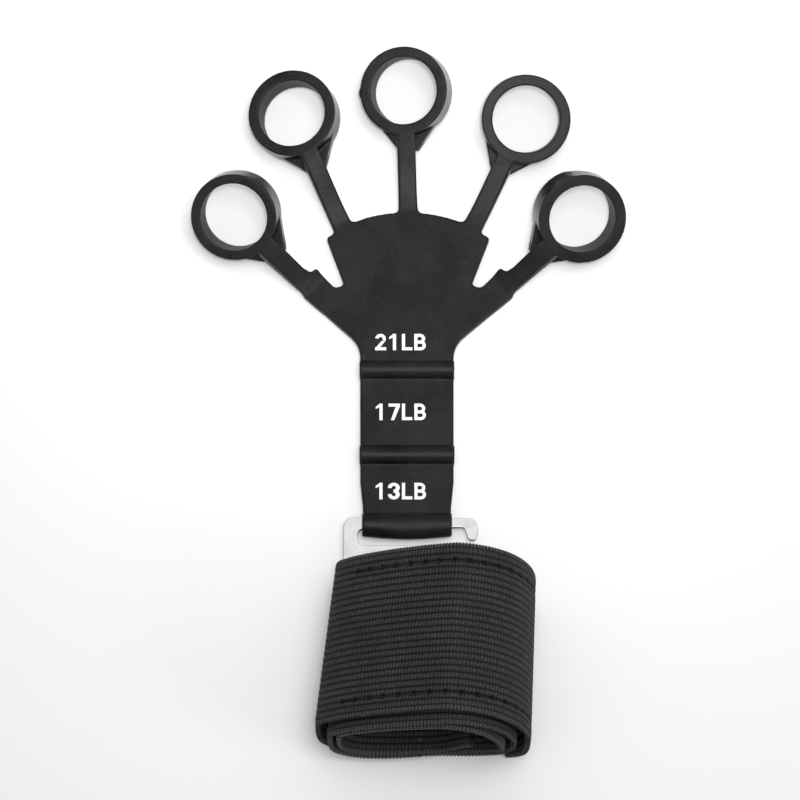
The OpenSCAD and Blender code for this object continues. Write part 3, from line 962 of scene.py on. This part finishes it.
def elastic_strip(name, first, last, torn_end, start_length=0.0):
    """A length of the elastic along the roll: ribs on both faces, looped selvedges and one cut end."""
    rng = np.random.default_rng(SEED)
    turns, length = roll_walk(first, last, PICK / 2)
    ribs = SELVEDGE + np.linspace(0, RIBS * RIB, RIBS * RIB_STEPS + 1)
    border = np.array((0, 0.25, 0.65))
    lanes = np.concatenate((border, ribs, ELASTIC_WIDTH - border[::-1]))
    ll, across = np.meshgrid(length, lanes, indexing="ij")
    along = ll + start_length
    edge = np.minimum(across, ELASTIC_WIDTH - across)
    in_selvedge = RIB_DEPTH * (1 - edge / SELVEDGE) ** 3 + 0.1
    lift = np.where(edge >= SELVEDGE, rib_height(across - SELVEDGE, RIB, RIB_DEPTH), in_selvedge)
    beat = np.cos(2 * math.pi * along / PICK)
    lift += 0.05 * beat * (1 + np.exp(-edge / 0.8))
    outward = np.where(across < ELASTIC_WIDTH / 2, -1, 1)
    loops = 0.24 * beat * np.exp(-edge / 0.35) * outward
    sway = 0.3 * np.sin(along / 31.0 + 1) + 0.15 * np.sin(along / 13.0)
    end, sign = (length[-1], 1) if torn_end == "last" else (0.0, -1)
    rate = np.gradient(turns, length)[:, None]
    turn = turns[:, None] + rate * sign * ragged(ll, across, end, rng)
    turn = np.clip(turn, *TABLE_TURNS)
    outer = in_roll(turn, lift + stitch_pits(along, across), across + loops + sway)
    inner = in_roll(turn, ELASTIC - lift, across + loops + sway)
    return cloth(name, outer, inner, along, across, "elastic"), length[-1]


def tape_strip(name, first, last):
    """A length of hook tape against the elastic's inner face."""
    turns, length = roll_walk(first, last, 1.5)
    along, across = np.meshgrid(length, np.linspace(0, TAPE_WIDTH, 39), indexing="ij")
    turn = np.broadcast_to(turns[:, None], along.shape)
    rows = 0.08 * np.cos(2 * math.pi * across / 2.0)
    margin = (ELASTIC_WIDTH - TAPE_WIDTH) / 2
    outer = in_roll(turn, ELASTIC + 0.02, across + margin)
    inner = in_roll(turn, ELASTIC + TAPE + rows, across + margin)
    return cloth(name, outer, inner, along, across, "hook_tape"), length[-1]


def yarn_ends(name, turn, sign):
    """Loose yarns at a cut end: fine tapered threads that lean out of the cloth."""
    rng = np.random.default_rng(SEED)
    rings, sides, radius, spacing, rooted = 5, 4, 0.11, 0.55, 0.5
    points, faces = [], []
    rate = NUDGE / np.linalg.norm(roll_face(turn + NUDGE)[0] - roll_face(turn)[0])
    for across in np.arange(0.6, ELASTIC_WIDTH - 0.5, spacing):
        reach = rng.uniform(0.8, 2.4)
        depth, stray, drop = rng.uniform(0.3, 1.5), rng.normal(0, 0.5), rng.normal(0, 0.45)
        faces += tube_faces(len(points), rings, sides)
        for t in np.linspace(0, 1, rings):
            at = np.array([turn + sign * rate * (reach * t - rooted)])
            centre = in_roll(at, max(depth + drop * t * t, 0.15), across + stray * t)[0]
            thin = radius * (1 - 0.6 * t)
            for a in 2 * math.pi * np.arange(sides) / sides:
                round_it = sign * math.cos(a) * AXIS + (0, 0, math.sin(a))
                points.append(centre + thin * round_it)
    return piece(name, points, faces, "thread")


def stitch_row(turns, across):
    """Stitches end to end: each a short bar of thread that dips into its needle holes."""
    points, faces = [], []
    rings, sides, radius = 9, 6, 0.2
    for t0, t1 in zip(turns, turns[1:]):
        faces += tube_faces(len(points), rings, sides)
        at = np.linspace(t0, t1, rings)
        sink = 0.75 + 0.7 * (2 * np.linspace(0, 1, rings) - 1) ** 6
        centre = in_roll(at, sink, across)
        up = in_roll(at, sink - 1, across) - centre
        for k in range(rings):
            forward = unit(centre[min(k + 1, rings - 1)] - centre[max(k - 1, 0)])
            high = unit(up[k])
            side = np.cross(high, forward)
            for a in 2 * math.pi * np.arange(sides) / sides:
                points.append(centre[k] + radius * (math.cos(a) * side + math.sin(a) * high))
    return points, faces


def build_stitches():
    """Both rows of stitches, as one piece."""
    points, faces = [], []
    turns, length = roll_walk(PEEL, TAPE_END, 0.5)
    first, last = 1, int(min(STITCHED_LENGTH, length[-1]) / STITCH_PITCH)
    holes = np.interp(np.arange(first, last + 1) * STITCH_PITCH, length, turns)
    for across in (STITCH_ROW, ELASTIC_WIDTH - STITCH_ROW):
        more, quads = stitch_row(holes, across)
        faces += [tuple(i + len(points) for i in quad) for quad in quads]
        points += more
    stitches = piece("tape_stitch_rows", points, faces, "thread")
    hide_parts("tape_stitches")
    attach(stitches, "strap_roll")


def build_strap():
    """The elastic and its hook tape, each with its free end as a piece of its own, and their thread."""
    strap, strap_length = elastic_strip("ribbed_wrist_strap", PEEL, INNER_END, "last")
    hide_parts("strap_outer_turn", "strap_middle_turn", "strap_inner_turn")
    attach(strap, "strap_roll")
    end_length = roll_walk(FREE_END, PEEL, PICK)[1][-1]
    tail, _ = elastic_strip("ribbed_strap_end", FREE_END, PEEL, "first", -end_length)
    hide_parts("strap_end")
    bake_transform(tail)
    tape, tape_length = tape_strip("hook_tape_strip", PEEL, TAPE_END)
    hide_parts("hook_tape")
    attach(tape, "strap_roll")
    tape_tail, tail_length = tape_strip("hook_tape_strip_end", FREE_END + 1, PEEL)
    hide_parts("hook_tape_end")
    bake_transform(tape_tail)
    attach(yarn_ends("loose_yarns_outer_end", FREE_END, -1), "strap_tail")
    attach(yarn_ends("loose_yarns_inner_end", INNER_END, 1), "strap_roll")
    build_stitches()


build_strap()

# ---------------- webbing tab


def build_tab():
    """Webbing folded round the buckle's lower bar and sewn inside the roll."""
    lo, hi = (mm(c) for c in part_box("keeper_tab"))
    bar = mm(JOINTS["strap_swing"]["pos_m"])
    thick, radius, inset, step = 0.62, 2.5, 0.1, 0.45
    ribs, rib_steps, rib_depth = 25, 4, 0.12
    upper, lower = 3.92, 3.28
    path = [(lo[1], upper), (bar[1] - 9, upper), (bar[1] - 4, upper + 0.5)]
    for a in np.radians(np.arange(150, -151, -15)):
        path.append((bar[1] + radius * math.cos(a) * 1.08, bar[2] + radius * math.sin(a)))
    path += [(bar[1] - 4, lower - 0.5), (bar[1] - 9, lower), (lo[1], lower)]
    path = np.array(path)
    run = np.concatenate(([0], np.cumsum(np.linalg.norm(np.diff(path, axis=0), axis=1))))
    length = np.linspace(0, run[-1], int(run[-1] / step))
    yz = np.stack([np.interp(length, run, path[:, k]) for k in (0, 1)], 1)
    tangent = np.gradient(yz, axis=0)
    tangent /= np.linalg.norm(tangent, axis=1)[:, None]
    normal = np.stack((-tangent[:, 1], tangent[:, 0]), 1)
    width = hi[0] - lo[0] - 2 * inset
    lanes = np.linspace(0, width, ribs * rib_steps + 1)
    lift = rib_height(lanes, width / ribs, rib_depth)
    skins = []
    for sign in (1, -1):
        where = yz[:, None, :] + normal[:, None, :] * sign * (thick / 2 - lift)[None, :, None]
        x = np.broadcast_to(lo[0] + inset + lanes, where.shape[:2])
        skins.append(np.stack((x, where[..., 0], where[..., 1]), -1).reshape(-1, 3))
    tab = cloth("webbing_tab", *skins, *np.meshgrid(length, lanes, indexing="ij"), "webbing")
    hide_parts("keeper_tab")
    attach(tab, "strap_roll")


build_tab()

for mark in ("mark_21lb", "mark_17lb", "mark_13lb"):
    node = frame["nodes"][mark]
    node.data.materials.clear()
    node.data.materials.append(MATERIALS["print"])

# ---------------- stage, light and camera


SKY = 0.5
FLOOR_SIZE = 1.6
FLOOR_DROP = 0.0002
# Each softbox: its place, what it points at, its width and height, and its power in watts.
SOFTBOXES = {
    "key_light": ((0.25, -0.25, 2.0), (0, 0, 0), (0.8, 0.8), 15),
    "far_light": ((0.05, 0.55, 1.45), (0, 0, 0), (1.1, 0.7), 1.1),
    "right_light": ((1.0, -0.5, 0.5), (0, -0.08, 0.02), (0.5, 0.4), 2.5),
}
CAMERA_AIM = (-0.0021, 0.00245, 0)
CAMERA_ELEVATION = math.radians(70.6)
CAMERA_DISTANCE = 2.0
VIEW_WIDTH = 0.2388
SENSOR = 36.0


def build_stage():
    """The pale floor, and an even white sky."""
    bpy.ops.mesh.primitive_grid_add(x_subdivisions=8, y_subdivisions=8, size=FLOOR_SIZE)
    floor = bpy.context.object
    floor.name = "floor"
    floor.location = (0, 0, -FLOOR_DROP)
    floor.data.materials.append(pale_floor())
    world = bpy.data.worlds.new("studio")
    bpy.context.scene.world = world
    world.use_nodes = True
    sky = world.node_tree.nodes["Background"]
    sky.inputs["Color"].default_value = (1, 1, 1, 1)
    sky.inputs["Strength"].default_value = SKY
    bpy.context.scene.view_settings.view_transform = "Standard"


def aimed(name, data, place, aim):
    """A light or camera at a place, turned to look at aim."""
    obj = bpy.data.objects.new(name, data)
    obj.location = place
    obj.rotation_euler = (Vector(aim) - Vector(place)).to_track_quat("-Z", "Y").to_euler()
    bpy.context.scene.collection.objects.link(obj)
    return obj


def softbox(name, place, aim, size, power):
    data = bpy.data.lights.new(name, "AREA")
    data.shape = "RECTANGLE"
    data.size, data.size_y = size
    data.energy = power
    aimed(name, data, place, aim)


def hand_light():
    """A spot beside the camera that whitens the floor seen through the loops."""
    data = bpy.data.lights.new("hand_light", "SPOT")
    data.energy = 90
    data.shadow_soft_size = 0.12
    data.spot_size = math.radians(9)
    data.spot_blend = 0.6
    aimed("hand_light", data, (0.05, -0.58, 1.95), (0, 0.085, 0))


def build_camera():
    data = bpy.data.cameras.new("camera")
    data.sensor_width = SENSOR
    data.lens = SENSOR * CAMERA_DISTANCE / VIEW_WIDTH
    data.clip_start, data.clip_end = 0.05, 20
    back = Vector((0, -math.cos(CAMERA_ELEVATION), math.sin(CAMERA_ELEVATION)))
    place = Vector(CAMERA_AIM) + back * CAMERA_DISTANCE
    bpy.context.scene.camera = aimed("camera", data, place, CAMERA_AIM)


build_stage()
for name, settings in SOFTBOXES.items():
    softbox(name, *settings)
hand_light()
build_camera()
